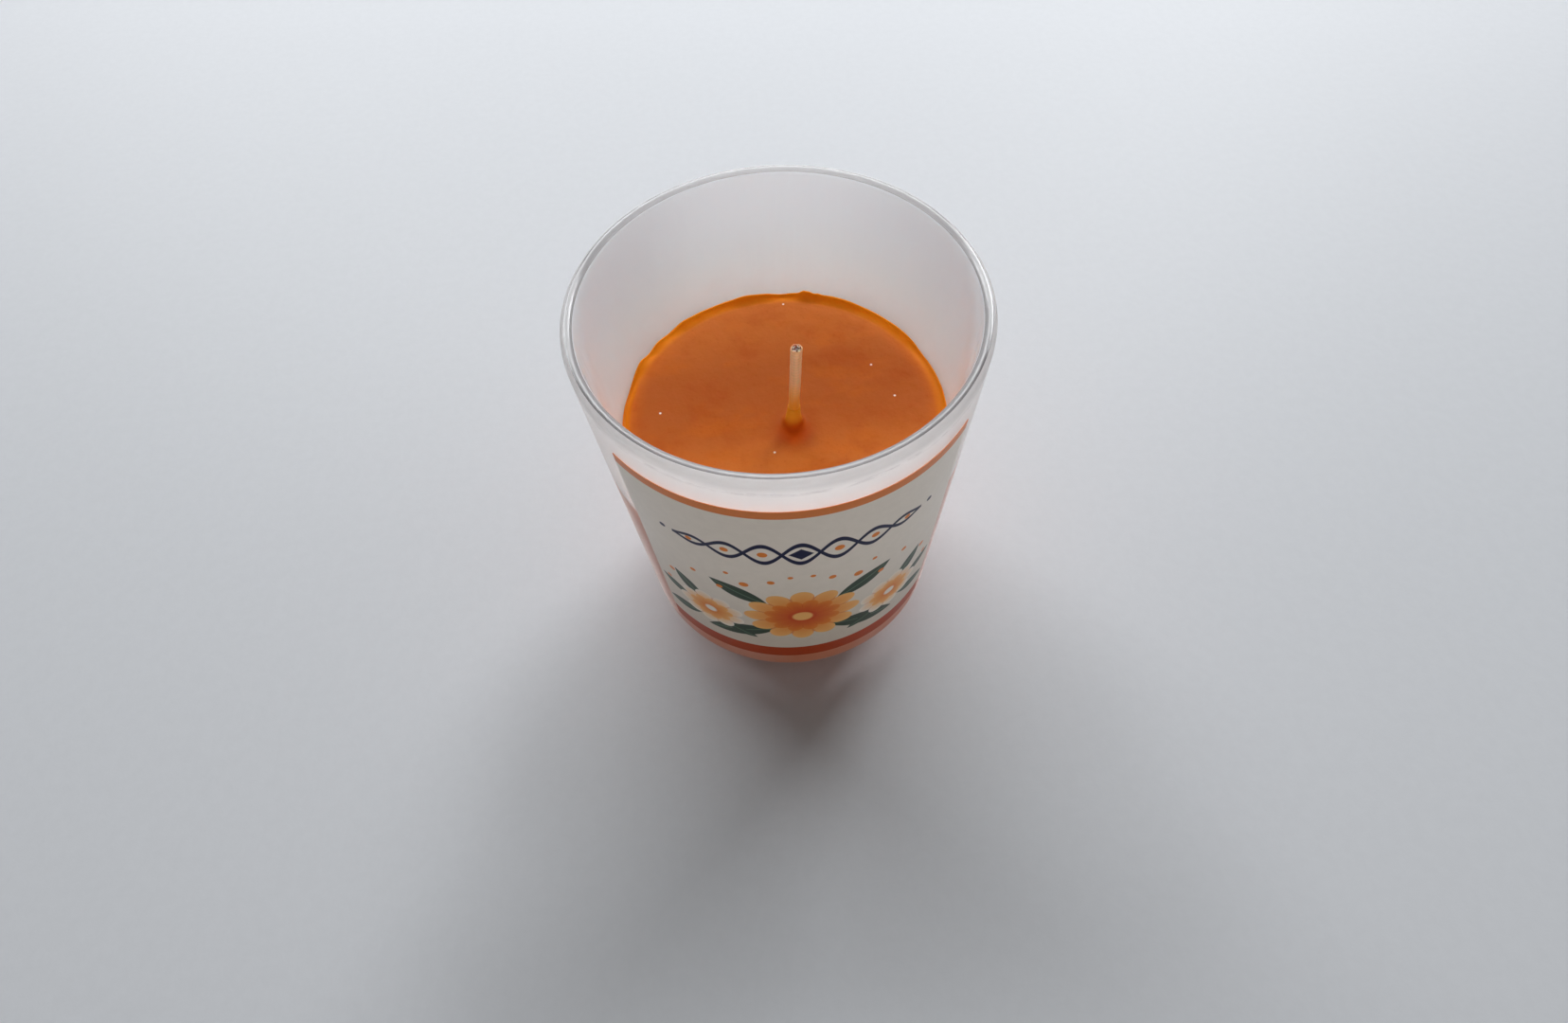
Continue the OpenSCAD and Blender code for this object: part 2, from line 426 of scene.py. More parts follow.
def add_piece(name, bm, materials, node, sharp):
    """Makes a piece of a mesh, which stands for a solid of the part and rides with it."""
    mesh = bpy.data.meshes.new(name)
    bm.to_mesh(mesh)
    bm.free()
    for material in materials:
        mesh.materials.append(material)
    mesh.shade_smooth()
    mesh.set_sharp_from_angle(angle=math.radians(sharp))
    piece = bpy.data.objects.new(name, mesh)
    bpy.context.scene.collection.objects.link(piece)
    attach(piece, "root")
    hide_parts(node)
    return piece


def along_wick(wick):
    """The shear that leans a round body on the Z axis along the wick."""
    run = math.tan(wick.lean)
    shear = Matrix.Shear("XY", 4, (run * math.cos(wick.lean_way), run * math.sin(wick.lean_way)))
    up = Matrix.Translation((0, 0, wick.foot_height))
    return up @ shear @ up.inverted()


# Light that passes through the empty part of the wall and lights it from within.
MILKY = {
    "Transmission Weight": 0.05, "Subsurface Weight": 1.0, "Subsurface Scale": 0.02,
    "Subsurface Radius": (1.0, 0.98, 0.97),
}
SCUFF_DROP, SCUFF_SPREAD = 1.2, 0.8  # from the clear rim down to the scuffs, and their reach, in millimetres


def frosted_glass(name, jar, level, constants):
    """Etched glass: a milky satin skin with a fine grain, scuffed under the rim, and warm in front of the wax."""
    finish = Finish(name, {"Roughness": 0.5, "Specular IOR Level": 0.3, **constants})
    place = finish.place()
    _, y, z = finish.split(place)
    cloud = finish.noise(place, 0.09, 3.0)
    grain = finish.noise(place, 2.6, 2.0)
    streak = finish.noise(finish.stretch(place, (0.5, 0.5, 1.6)), 0.7, 4.0, 0.6)
    edge, top = in_mm(jar.height - jar.clear_band), in_mm(level)
    scuffed = (1 - abs(z - (edge - SCUFF_DROP)) / SCUFF_SPREAD).most(0.0)
    smudge = scuffed * finish.ramp(streak, 0.36, 0.72) * finish.ramp(cloud - y * 0.004, 0.42, 0.6)
    solid = finish.ramp(z, edge - 1.4, edge + 0.6)
    base = finish.mix(finish.ramp(cloud, 0.3, 0.7), jar.frost_tint, shade(jar.frost_tint, 0.97))
    glow = 1 - finish.ramp(z + cloud, top - 0.6, top + 3.2)
    held = finish.ramp(finish.noise(place, 0.055, 3.0, 0.55), 0.3, 0.62) * 0.12 + 0.83
    base = finish.mix(glow * held, base, jar.glow_tint)
    base = finish.mix(solid * 0.4, base, jar.rim_tint)
    finish.set("Base Color", finish.mix(smudge * 0.6, base, jar.smudge_tint))
    finish.bump(grain, 0.02 * MM)
    return finish.material


def clear_glass(jar, lines):
    """Fire-polished glass of the rim, lighter towards the inside as painted light, with the faint waves of pressed
    glass.
    """
    finish = Finish("Clear rim", {"Roughness": 0.05, **MILKY})
    place = finish.place()
    x, y, _ = finish.split(place)
    wave = finish.noise(place, 0.12, 1.0)
    middle = in_mm(lines.wall(jar.height) - lines.rim)
    outside = finish.ramp(distance(x, y) + wave * 0.2, middle - 0.4, middle + 0.6)
    # Painted light: the inner half of the rim is lighter, standing in for its bright inner edge.
    finish.set("Base Color", finish.mix(outside, jar.lit_tint, jar.rim_tint))
    finish.bump(wave, 0.02 * MM)
    return finish.material


def inner_glass(jar, level):
    """Smooth inside of the jar: waves drawn along its height, and a film and a smear of wax above the fill."""
    finish = Finish("Inner wall", {
        "Roughness": 0.12, "Specular IOR Level": 0.3, **MILKY, "Subsurface Scale": 0.010,
    })
    place = finish.place()
    _, _, z = finish.split(place)
    top = in_mm(level)
    wave = finish.noise(finish.stretch(place, (1.0, 1.0, 0.22)), 0.22, 2.0)
    smear = finish.ramp(finish.noise(place, 0.12, 3.0), 0.4, 0.7)
    low = 1 - finish.ramp(z, top + 1.0, top + 12.0)
    film = finish.noise(place, 0.05, 3.0)
    up = finish.ramp(z + film * 4.0, top + 2.0, in_mm(jar.height))
    base = finish.mix(up, jar.film_tint, jar.glass_tint)
    finish.set("Base Color", finish.mix(smear * low * 0.05, base, jar.glow_tint))
    finish.bump(wave, 0.12 * MM)
    return finish.material


class CANDLE_OT_jar(bpy.types.Operator):
    """Turns the glass tumbler, frosted outside, smooth inside and clear at its rim"""

    bl_idname = "candle.jar"
    bl_label = "Glass jar"
    bl_options = {"REGISTER", "UNDO"}

    def execute(self, context):
        jar = context.scene.candle_jar
        lines = JarLines(jar)
        top = jar.height
        level = top - context.scene.candle_wax.fill_gap
        band = top - jar.clear_band
        hollow = jar.punt_diameter / 2
        hollow_radius = (hollow ** 2 + jar.punt_depth ** 2) / (2 * jar.punt_depth)
        hollow_reach = hollow_radius * math.tan(math.asin(hollow / hollow_radius) / 2)
        bm = half_section([
            (0, jar.punt_depth),
            (hollow_reach, jar.punt_depth, hollow_radius * EASE, 8),
            (hollow, 0),
            (lines.foot, 0, jar.heel_radius, 8),
            (lines.wall(level), level),
            (lines.wall(band), band),
            (lines.wall(top), top, lines.rim * EASE, 10),
            (lines.cavity(top), top, lines.rim * EASE, 10),
            (lines.cavity(band), band),
            (lines.cavity_foot, lines.floor, jar.floor_radius, 8),
            (0, lines.floor),
        ])
        turn(bm, jar.steps)
        # Places in the list of materials below, after the frosting.
        polished, inside, over_wax = 1, 2, 3
        polish_low = top - lines.rim * 0.45
        for face in bm.faces:
            middle = face.calc_center_median()
            outward = face.normal.dot(Vector((middle.x, middle.y, 0)).normalized())
            if middle.z > polish_low and outward < 0.3:
                face.material_index = polished
            elif middle.z > lines.floor - HAIR and outward < HAIR:
                face.material_index = inside
            elif middle.z < level:
                face.material_index = over_wax
        materials = [
            frosted_glass("Frosted glass", jar, level, MILKY),
            clear_glass(jar, lines),
            inner_glass(jar, level),
            frosted_glass("Frosted glass over wax", jar, level, {
                "Transmission Weight": 0.25, "Sheen Weight": 0.7, "Sheen Roughness": 0.25,
            }),
        ]
        piece = add_piece("jar_glass", bm, materials, "glass_jar", sharp=30)
        # Light reaches the wax as it does through frosted glass.
        piece.visible_shadow = False
        return {"FINISHED"}


# The print, in millimetres from the bottom of the label and out from its middle on both sides.
PRINT_BLUR = 0.16
LEAVES = (  # foot, turn in degrees, length, half width
    ((5.0, 16.0), -22, 17.0, 2.6), ((6.5, 28.0), 34, 13.0, 2.2), ((22.0, 13.5), -14, 9.5, 1.8),
    ((20.0, 22.0), 58, 10.5, 1.7), ((23.5, 19.5), 26, 8.0, 1.5), ((17.0, 15.0), 214, 9.0, 1.5),
)
SEEDS = (  # place, radius
    ((5.5, 38.0), 0.7), ((10.5, 36.0), 0.9), ((15.5, 32.5), 0.65), ((26.5, 29.5), 0.7), ((2.0, 40.0), 0.5),
    ((13.5, 39.5), 0.5), ((20.5, 35.5), 0.6), ((28.5, 24.0), 0.6),
)
ROPE_UP, ROPE_SWING, ROPE_REACH = 49.0, 3.3, 22.4
ROPE_TURN = 6.4  # from one crossing of the navy waves to the next
ROPE_FADE = 560.0  # square of the reach at which the waves lie flat


class Print:
    """Draws flat shapes on the label from its place in millimetres, mirrored about its middle."""

    def __init__(self, finish, width, height):
        self.finish = finish
        spot = finish.node("UVMap", {"uv_map": "Flat"})
        across, up, _ = finish.split(spot)
        self.x = abs((across - 0.5) * in_mm(width))
        self.y = up * in_mm(height)
        self.colour = None

    def lay(self, mask, colour):
        """Prints a colour over what is there."""
        self.colour = self.finish.mix(mask, self.colour, colour)

    def leaf(self, foot, turned, size, width, colour, rib):
        """A pointed leaf from its foot, turned from the X axis, with a light rib."""
        c, s = math.cos(math.radians(turned)), math.sin(math.radians(turned))
        dx, dy = self.x - foot[0], self.y - foot[1]
        along = (dx * c + dy * s) / size
        aside = abs(dy * c - dx * s)
        body = (along * (1 - along) * (4 * width) - aside).inside(PRINT_BLUR)
        self.lay(body, colour)
        self.lay(body * (0.14 - aside).inside(0.12) * (0.9 - along).inside(0.05), rib)

    def flower(self, middle, radius, petals, tone, tip, heart):
        """Two rows of round petals about a heart."""
        dx, dy = self.x - middle[0], self.y - middle[1]
        far = distance(dx, dy)
        angle = dx.maths("ARCTAN2", dy, dx)
        for reach, phase, first, second in ((1.0, 0.0, tone, tip), (0.66, math.pi / 2, heart, tone)):
            lobe = abs((angle * (petals / 2) + phase).cosine()) ** 0.6
            edge = (lobe * 0.26 + 0.74) * (radius * reach)
            row = (edge - far).inside(PRINT_BLUR)
            self.lay(row, self.finish.mix((far / edge) ** 2.2, first, second))
            self.lay((0.34 - lobe).inside(0.3) * row * (far / edge) * 0.6, heart)
        self.lay((radius * 0.24 - far).inside(PRINT_BLUR), heart)
        self.lay((radius * 0.17 - far).inside(0.5), tip)

    def dot(self, middle, radius, colour):
        far = distance(self.x - middle[0], self.y - middle[1])
        self.lay((radius - far).inside(0.14), colour)

    def rope(self, colour, bead):
        """Two crossing waves that die out sideways, with a lozenge in the middle and beads."""
        swell = (1 - self.x * self.x / ROPE_FADE).most(0.0)
        wave = (self.x * (math.pi / ROPE_TURN)).cosine() * swell * ROPE_SWING
        rise = self.y - ROPE_UP
        stroke = swell * 0.35 + 0.35
        first, second = ((stroke - abs(away)).inside(PRINT_BLUR) for away in (rise - wave, rise + wave))
        self.lay(first.most(second) * (ROPE_REACH - self.x).inside(0.1), colour)
        self.lay((1.9 - self.x * 0.9 - abs(rise)).inside(PRINT_BLUR), colour)
        for count in (1, 2, 3):
            across = count * ROPE_TURN
            self.dot((across, ROPE_UP), 1.0 - across * 0.02, bead)
        self.dot((ROPE_REACH + 2.0, ROPE_UP), 0.6, colour)


def printed_film(label, height):
    """Satin film: a field darker downwards, partly from the wax behind and partly painted shade, between two stripes,
    with a garland and a navy ornament.
    """
    finish = Finish("Printed film", {"Roughness": 0.3, "Specular IOR Level": 0.1})
    art = Print(finish, label.width, height)
    place = finish.place()
    fibre = finish.noise(place, 0.5, 3.0)
    art.colour = finish.mix(finish.ramp(fibre, 0.3, 0.7), label.paper, shade(label.paper, 0.97))
    # Darker downwards: partly the wax showing through the film, partly painted shade towards the foot.
    art.lay((1 - finish.ramp(art.y, 2.0, 46.0)) * 0.4, label.backing_and_shade)
    for leaf in LEAVES:
        art.leaf(*leaf, label.leaf, shade(label.leaf, 3.2))
    art.flower((19.0, 19.0), 7.4, 9, label.petal_tip, label.paper, label.petal)
    art.flower((0.0, 22.0), 11.6, 12, label.petal, label.petal_tip, label.heart)
    for seed in SEEDS:
        art.dot(*seed, label.petal)
    art.rope(label.navy, label.petal)
    art.lay((art.y - in_mm(height - label.top_stripe)).inside(0.12), label.stripe)
    # The bottom stripe is printed red orange, made darker as painted shade at the foot of the label.
    art.lay((in_mm(label.foot_stripe) - art.y).inside(0.12), label.foot_tint)
    finish.set("Base Color", art.colour)
    finish.bump(finish.noise(place, 0.16, 2.0), 0.06 * MM)
    return finish.material


class CANDLE_OT_label(bpy.types.Operator):
    """Wraps the printed film on the front of the jar"""

    bl_idname = "candle.label"
    bl_label = "Label"
    bl_options = {"REGISTER", "UNDO"}

    def execute(self, context):
        label = context.scene.candle_label
        lines = JarLines(context.scene.candle_jar)
        height = LABEL_HIGH - LABEL_LOW
        around = label.width / lines.wall((LABEL_LOW + LABEL_HIGH) / 2)
        gap = label.glue / math.cos(lines.lean)
        bm = bmesh.new()
        bmesh.ops.create_grid(bm, x_segments=96, y_segments=4, size=0.5)
        flat = bm.loops.layers.uv.new("Flat")
        for face in bm.faces:
            for loop in face.loops:
                loop[flat].uv = loop.vert.co.xy + Vector((0.5, 0.5))
        for vert in bm.verts:
            z = LABEL_LOW + (vert.co.y + 0.5) * height
            angle = vert.co.x * around - math.pi / 2
            radius = lines.wall(z) + gap
            vert.co = radius * math.cos(angle), radius * math.sin(angle), z
        bm.normal_update()
        bmesh.ops.solidify(bm, geom=bm.faces[:], thickness=-label.film)
        bmesh.ops.recalc_face_normals(bm, faces=bm.faces[:])
        add_piece("label_film", bm, [printed_film(label, height)], "front_label", sharp=30)
        return {"FINISHED"}


GRAINS = ((-23.9, 2.9), (2.8, 29.0), (18.9, 10.4), (22.3, 1.9), (-2.4, -8.6))  # on the wax, in millimetres
GRAIN_RADIUS = 0.21
PIT_SHIFT = 2.2  # from the wick to the middle of the hollow, in millimetres


def poured_wax(wax, wick, lines, level):
    """Soft wax: paler in front and behind and bright in its thin lip at the glass, both painted light, bright where
    it is thin on the wick, darker in the dimple partly as painted shade, mottled, with pale grains.
    """
    finish = Finish("Poured wax", {
        "IOR": WAX_IOR, "Subsurface Weight": 0.2, "Subsurface Scale": 0.004,
        "Subsurface Radius": (1.0, 0.35, 0.08), "Specular IOR Level": 0.05,
    })
    place = finish.place()
    x, y, z = finish.split(place)
    far = distance(x, y)
    lean = in_mm(math.tan(wick.lean) * (level - wick.foot_height))
    from_wick = x - lean * math.cos(wick.lean_way), y - lean * math.sin(wick.lean_way)
    near = distance(*from_wick)
    pit = distance(from_wick[0], from_wick[1] + PIT_SHIFT)
    rim, top = in_mm(lines.cavity(level)), in_mm(level)
    mottle = finish.noise(place, 0.13, 4.0, 0.6)
    cloud = finish.noise(place, 0.035, 2.0)
    streak = finish.noise(finish.stretch(place, (0.08, 0.15, 0.15)), 1.0, 4.0, 0.6)
    fleck = finish.noise(place, 1.7, 2.0)
    base = finish.mix(finish.ramp(far + cloud * 4.0, rim - 2.5, rim + 2.0), wax.middle, wax.edge)
    # Painted light: the wax is made paler in front and behind, where light falls on it.
    along = y + (cloud - 0.5) * 8.0
    paler = finish.ramp(along, 8.0, 26.0).most(1 - finish.ramp(along, -13.0, 1.0))
    base = finish.mix(paler * 0.75, base, wax.pale)
    base = finish.mix(finish.ramp(streak, 0.45, 0.72) * 0.4, base, wax.edge)
    base = finish.mix(finish.ramp(mottle, 0.48, 0.72) * 0.4, base, wax.mottle_and_shade)
    base = finish.mix(finish.ramp(fleck, 0.6, 0.75) * 0.3, base, wax.mottle_and_shade)
    # Painted shade: the darker spot in the dimple, shifted in front of the wick, is partly the wick's shadow and the
    # shade of the hollow, partly the deeper colour there.
    base = finish.mix((1 - finish.ramp(pit, 1.5, 6.5)) * 0.7, base, wax.mottle_and_shade)
    base = finish.mix((1 - finish.ramp(pit, 0.3, 4.2)) * 0.9, base, wax.hollow)
    base = finish.mix(finish.ramp(z, top + 0.4, top + 3.6) * (4.0 - near).inside(0.5), base, wax.collar)
    # Painted light: the thin lip at the glass is made brighter, most at the back, where light would shine through it.
    lip = finish.mix(finish.ramp(y, 6.0, 24.0), wax.lip, wax.lit_lip)
    base = finish.mix(finish.ramp(far, rim - 2.4, rim - 0.2) * (z - top + 2.5).inside(0.5) * 0.75, base, lip)
    for spot in GRAINS:
        grain = (GRAIN_RADIUS - distance(x - spot[0], y - spot[1])).inside(0.16)
        base = finish.mix(grain * 0.9, base, wax.grain)
    finish.set("Base Color", base)
    finish.set("Roughness", finish.ramp(mottle, 0.2, 0.8) * 0.12 + 0.40)
    finish.bump(finish.noise(place, 0.30, 3.0, 0.55), 0.18 * MM)
    return finish.material


# Waves of the wax's edge on the glass: direction and width in degrees, height in millimetres.
EDGE_WAVES = (
    (8, 8, -0.3), (20, 7, -0.7), (62, 9, 0.3), (71.0, 1.2, 0.25), (74.4, 1.4, 0.55), (76.6, 1.3, 0.65),
    (86, 4, -0.45), (100, 4, 0.3), (126, 3, 0.3), (134, 4, -0.3), (145, 3.5, -0.55), (151, 2.5, 0.2),
    (162, 6, -0.8), (177, 15, -1.9), (-150, 15, -0.5), (-120, 10, 0.2), (-90, 8, -0.25), (-60, 9, 0.25),
    (-30, 10, -0.3),
)
COLLAR_RINGS, COLLAR_GROWTH = 12, 1.32  # rings of the collar, each wider than the last
TOUCH = 0.00003  # how far the wax reaches into the glass
DIMPLE_SHIFT = 0.001  # of the dimple towards the front


def edge_wave(angle):
    """How far the wax's edge stands above its mean height in one direction."""
    height = 0.15 * noise.noise(Vector((7 * math.cos(angle), 7 * math.sin(angle), 0.3)))
    for way, width, rise in EDGE_WAVES:
        off = (math.degrees(angle) - way + 180) % 360 - 180
        height += rise * math.exp(-(off / width) ** 2)
    return height * MM


class CANDLE_OT_wax(bpy.types.Operator):
    """Casts the wax to the jar's inside, round the leaning wick and its foot"""

    bl_idname = "candle.wax"
    bl_label = "Wax"
    bl_options = {"REGISTER", "UNDO"}

    def execute(self, context):
        scene = context.scene
        wax, wick, jar = scene.candle_wax, scene.candle_wick, scene.candle_jar
        lines = JarLines(jar)
        edge = jar.height - wax.fill_gap
        level = edge - wax.climb_height
        sink_radius = lines.cavity(level) - wax.sink_inset
        climb_swing = math.acos(1 - wax.climb_height / wax.climb_radius)
        climb_reach = wax.climb_radius * math.tan(climb_swing / 2)
        land = lines.cavity(edge) - 0.2 * MM
        climb_foot = land - climb_reach * math.cos(climb_swing)
        wick_radius = wick.braid_diameter / 2 + wick.coat
        film = wick_radius + wax.collar_film
        plate = wick.foot_height
        collar = [
            (film + wax.collar_fall * (COLLAR_GROWTH ** count - 1), level) for count in range(COLLAR_RINGS, -1, -1)
        ]
        bm = half_section([
            (wick.glue_radius, lines.floor),
            (lines.cavity_foot + TOUCH, lines.floor - TOUCH, jar.floor_radius, 8),
            (lines.cavity(edge) + TOUCH, edge),
            (land, edge),
            (climb_foot, level, wax.climb_radius * EASE, 6),
            *collar,
            (wick_radius, level),
            (wick_radius, plate + wick.neck_height),
            (wick.neck_radius, plate + wick.neck_height),
            (wick.neck_radius, plate + wick.sheet, wick.neck_root, 5),
            (wick.plate_radius - wick.sheet, plate + wick.sheet),
            (wick.plate_radius - wick.sheet, plate + wick.lip),
            (wick.plate_radius, plate + wick.lip),
            (wick.plate_radius, plate),
            (wick.glue_radius, plate),
        ], closed=True)
        split_between(bm, (collar[0][0] - HAIR, level - HAIR), (climb_foot, level + HAIR), cuts=19)
        turn(bm, wax.steps)
        top_low = level - 4 * MM
        run = math.tan(wick.lean)
        toward = Vector((math.cos(wick.lean_way), math.sin(wick.lean_way)))
        for vert in bm.verts:
            x, y, z = vert.co
            far = math.hypot(x, y)
            if z > top_low:
                angle = math.atan2(y, x)
                at_glass = smooth_step(far, climb_foot - climb_reach, land)
                z += at_glass * edge_wave(angle)
                z -= wax.sink * (1 - min(far / sink_radius, 1) ** 2)
                z += wax.collar_height * math.exp((film - max(far, film)) / wax.collar_fall)
                pit = math.hypot(x, y + DIMPLE_SHIFT) / wax.dimple_radius
                z -= wax.dimple_depth * math.exp(-pit * pit) * smooth_step(far, 1.3 * MM, 2.2 * MM)
                open_top = smooth_step(far, 3 * MM, 8 * MM) * (1 - at_glass)
                z += 0.12 * MM * noise.noise(Vector((x, y, 0)) * 160) * open_top
                if far > land - HAIR:
                    far += lines.cavity_slope * (z - edge)
                    x, y = far * math.cos(angle), far * math.sin(angle)
            slide = run * (z - plate) * (1 - smooth_step(far, 5 * MM, 21 * MM))
            vert.co = x + slide * toward.x, y + slide * toward.y, z
        material = poured_wax(wax, wick, lines, level - wax.sink)
        add_piece("wax_pour", bm, [material], "wax_fill", sharp=50)
        return {"FINISHED"}


def wick_finish(name, colour, wick, level, roughness):
    """Waxed cotton: plaited strands that show through, with painted shade between them, warmer downwards, with orange
    wax drawn up from the foot.
    """
    finish = Finish(name, {
        "Roughness": roughness, "Subsurface Weight": 0.25, "Subsurface Scale": 0.0008, "IOR": WAX_IOR,
        "Specular IOR Level": 0.3,
    })
    place = finish.place()
    x, y, z = finish.split(place)
    run = math.tan(wick.lean)
    up = z - in_mm(wick.foot_height)
    side_x = x - up * (run * math.cos(wick.lean_way))
    side_y = y - up * (run * math.sin(wick.lean_way))
    angle = side_x.maths("ARCTAN2", side_y, side_x)
    around, climb = angle * 4.0, z * 4.2
    plait = ((around + climb).sine() * (around - climb).sine()) * 0.5 + 0.5
    stain = finish.noise(place, 0.7, 3.0)
    top = in_mm(level)
    base = finish.mix(finish.ramp(z + stain * 4.0, top + 4.0, top + 22.0), wick.soaked, colour)
    # Painted shade: darker in the gaps between the plaited strands.
    base = finish.mix(plait * 0.45, base, wick.gap)
    base = finish.mix(finish.ramp(stain, 0.5, 0.75) * 0.25, base, wick.gap)
    soak = 1 - finish.ramp(z + stain * 2.0, top + 6.5, top + 15.0)
    finish.set("Base Color", finish.mix(soak * 0.92, base, wick.drawn))
    finish.bump(plait * 0.7 + stain * 0.3, 0.08 * MM)
    return finish.material


def strands(bm, count, radius, offset, pitch, way, low, high):
    """Winds round strands about the Z axis, one way or the other."""
    per_turn = 14
    steps = int((high - low) / pitch * per_turn)
    at = Matrix.Translation((offset, 0, low))
    ring = bmesh.ops.create_circle(bm, segments=7, radius=radius, matrix=at)["verts"]
    bmesh.ops.spin(
        bm, geom=ring + bm.edges[:], cent=(0, 0, 0), axis=(0, 0, 1), dvec=(0, 0, (high - low) / steps),
        angle=way * math.tau * steps / per_turn, steps=steps,
    )
    bmesh.ops.holes_fill(bm, edges=[edge for edge in bm.edges if edge.is_boundary])
    spin_copies(bm, count)
    bmesh.ops.recalc_face_normals(bm, faces=bm.faces[:])


END_GAP = 0.00005  # from the wick's ends to its strands
PLAIT_COUNT, PLAIT_PITCH = 4, 0.0052  # strands each way, and the length of a turn
PLAIT_WEAVE, PLAIT_WAVE = 0.16, 2400  # share that the strands go in and out, and its radians in a metre


def skin_mesh(wick, level):
    """A thin tube of wax, uneven above the fill and at its cut tip."""
    low, high = wick.foot_height, wick.top
    inner = wick.braid_diameter / 2
    outer = inner + wick.coat
    room = outer - 0.02 * MM
    skin = half_section([(inner, low), (room, low), (room, high, 0.1 * MM, 3), (inner, high)], closed=True)
    split_between(skin, (inner + HAIR, low), (outer, high - END_GAP), cuts=90)
    turn(skin, steps=40)
    for vert in skin.verts:
        far = math.hypot(vert.co.x, vert.co.y)
        if far > inner + HAIR and vert.co.z > level:
            bulge = noise.noise(vert.co * 900 + Vector((0, 0, 5))) * 0.05 * MM - 0.04 * MM
            vert.co.xy *= 1 + bulge / far
        if vert.co.z > high - 0.6 * MM:
            vert.co.z -= 0.22 * MM * (0.5 + noise.noise(vert.co * 1400))
    return skin


def plait_mesh(wick):
    """Two sets of strands, wound against each other, that pass over and under."""
    core, inner = wick.core_diameter / 2, wick.braid_diameter / 2
    strand = (inner - core) / 4 * 1.25
    middle = (inner + core) / 2
    low, high = wick.foot_height + END_GAP, wick.top - 0.2 * MM
    braid = bmesh.new()
    for way in (1, -1):
        half = bmesh.new()
        strands(half, PLAIT_COUNT, strand, middle, PLAIT_PITCH, way, low, high)
        for vert in half.verts:
            angle = math.atan2(vert.co.y, vert.co.x)
            vert.co.xy *= 1 + way * PLAIT_WEAVE * math.sin(PLAIT_COUNT * angle + vert.co.z * PLAIT_WAVE)
        mesh = bpy.data.meshes.new("plait_half")
        half.to_mesh(mesh)
        half.free()
        braid.from_mesh(mesh)
        bpy.data.meshes.remove(mesh)
    for vert in braid.verts:
        far = math.hypot(vert.co.x, vert.co.y)
        vert.co.xy *= min(max(far, core + 0.01 * MM), inner - 0.01 * MM) / far
    return braid


def thread_mesh(wick):
    """Three strands twisted together."""
    core = wick.core_diameter / 2
    thread = bmesh.new()
    strands(thread, 3, core * 0.5, core * 0.46, 2.2 * MM, 1, wick.foot_height + END_GAP, wick.top - 0.3 * MM)
    return thread


class CANDLE_OT_wick(bpy.types.Operator):
    """Makes the wick: a twisted core, a round braid and a skin of wax, all on one lean"""

    bl_idname = "candle.wick"
    bl_label = "Wick"
    bl_options = {"REGISTER", "UNDO"}

    def execute(self, context):
        scene = context.scene
        wick, wax, jar = scene.candle_wick, scene.candle_wax, scene.candle_jar
        level = jar.height - wax.fill_gap - wax.climb_height - wax.sink
        lean = along_wick(wick)
        for bm, name, node, slot, title, colour, roughness in (
            (skin_mesh(wick, level), "wick_skin", "wick_coat", "wick_wax", "Wick skin", wick.skin, 0.38),
            (plait_mesh(wick), "wick_plait", "wick_braid", "cotton_braid", "Cotton braid", wick.cotton, 0.6),
            (thread_mesh(wick), "wick_thread", "wick_core", "core_thread", "Core thread", wick.thread, 0.7),
        ):
            bmesh.ops.transform(bm, matrix=lean, verts=bm.verts[:])
            finish = wick_finish(title, colour, wick, level, roughness)
            add_piece(name, bm, [finish], node, sharp=60)
        return {"FINISHED"}


class CANDLE_OT_wick_foot(bpy.types.Operator):
    """Gives the metal foot of the wick and the glue under it their finishes"""

    bl_idname = "candle.wick_foot"
    bl_label = "Wick foot"
    bl_options = {"REGISTER", "UNDO"}

    def execute(self, context):
        wick = context.scene.candle_wick
        tin = Finish("Tin plate", {"Metallic": 1.0, "Roughness": 0.3})
        place = tin.place()
        x, y, _ = tin.split(place)
        rings = (distance(x, y) * 9.0).sine()
        stain = tin.noise(place, 0.5, 4.0)
        tin.set("Base Color", tin.mix(tin.ramp(stain, 0.4, 0.7) * 0.5, wick.tin, shade(wick.tin, 0.72)))
        tin.set("Roughness", tin.ramp(stain, 0.2, 0.8) * 0.2 + 0.22)
        tin.bump(rings * 0.3 + stain, 0.02 * MM)
        melt = Finish("Hot melt", {"Roughness": 0.35, "Subsurface Weight": 0.3, "Subsurface Scale": 0.002})
        flow = melt.noise(melt.place(), 0.8, 3.0)
        melt.set("Base Color", melt.mix(melt.ramp(flow, 0.35, 0.7), wick.melt, shade(wick.melt, 0.85)))
        melt.bump(flow, 0.08 * MM)
        for node, finish in (("wick_sustainer", tin), ("glue_dot", melt)):
            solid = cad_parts[node]
            solid.data.materials.clear()
            solid.data.materials.append(finish.material)
        return {"FINISHED"}


TABLE_REACH, TABLE_DROP = 3.0, 0.0001  # half width of the table, and its depth under the foot, in metres
FADE_NEAR, FADE_FAR = 350.0, 1300.0  # where the table fades into the backdrop, in millimetres
COOL, WARM = (0.96, 0.98, 1.0), (1.0, 0.91, 0.80)
LAMP_AIM = Vector((0, 0, 0.03))
CAMERA_PLACE = (-0.005165, -0.09855, 0.1761)
CAMERA_PITCH, CAMERA_YAW, CAMERA_ROLL = math.radians(58.759), math.radians(2.461), math.radians(-3.44)


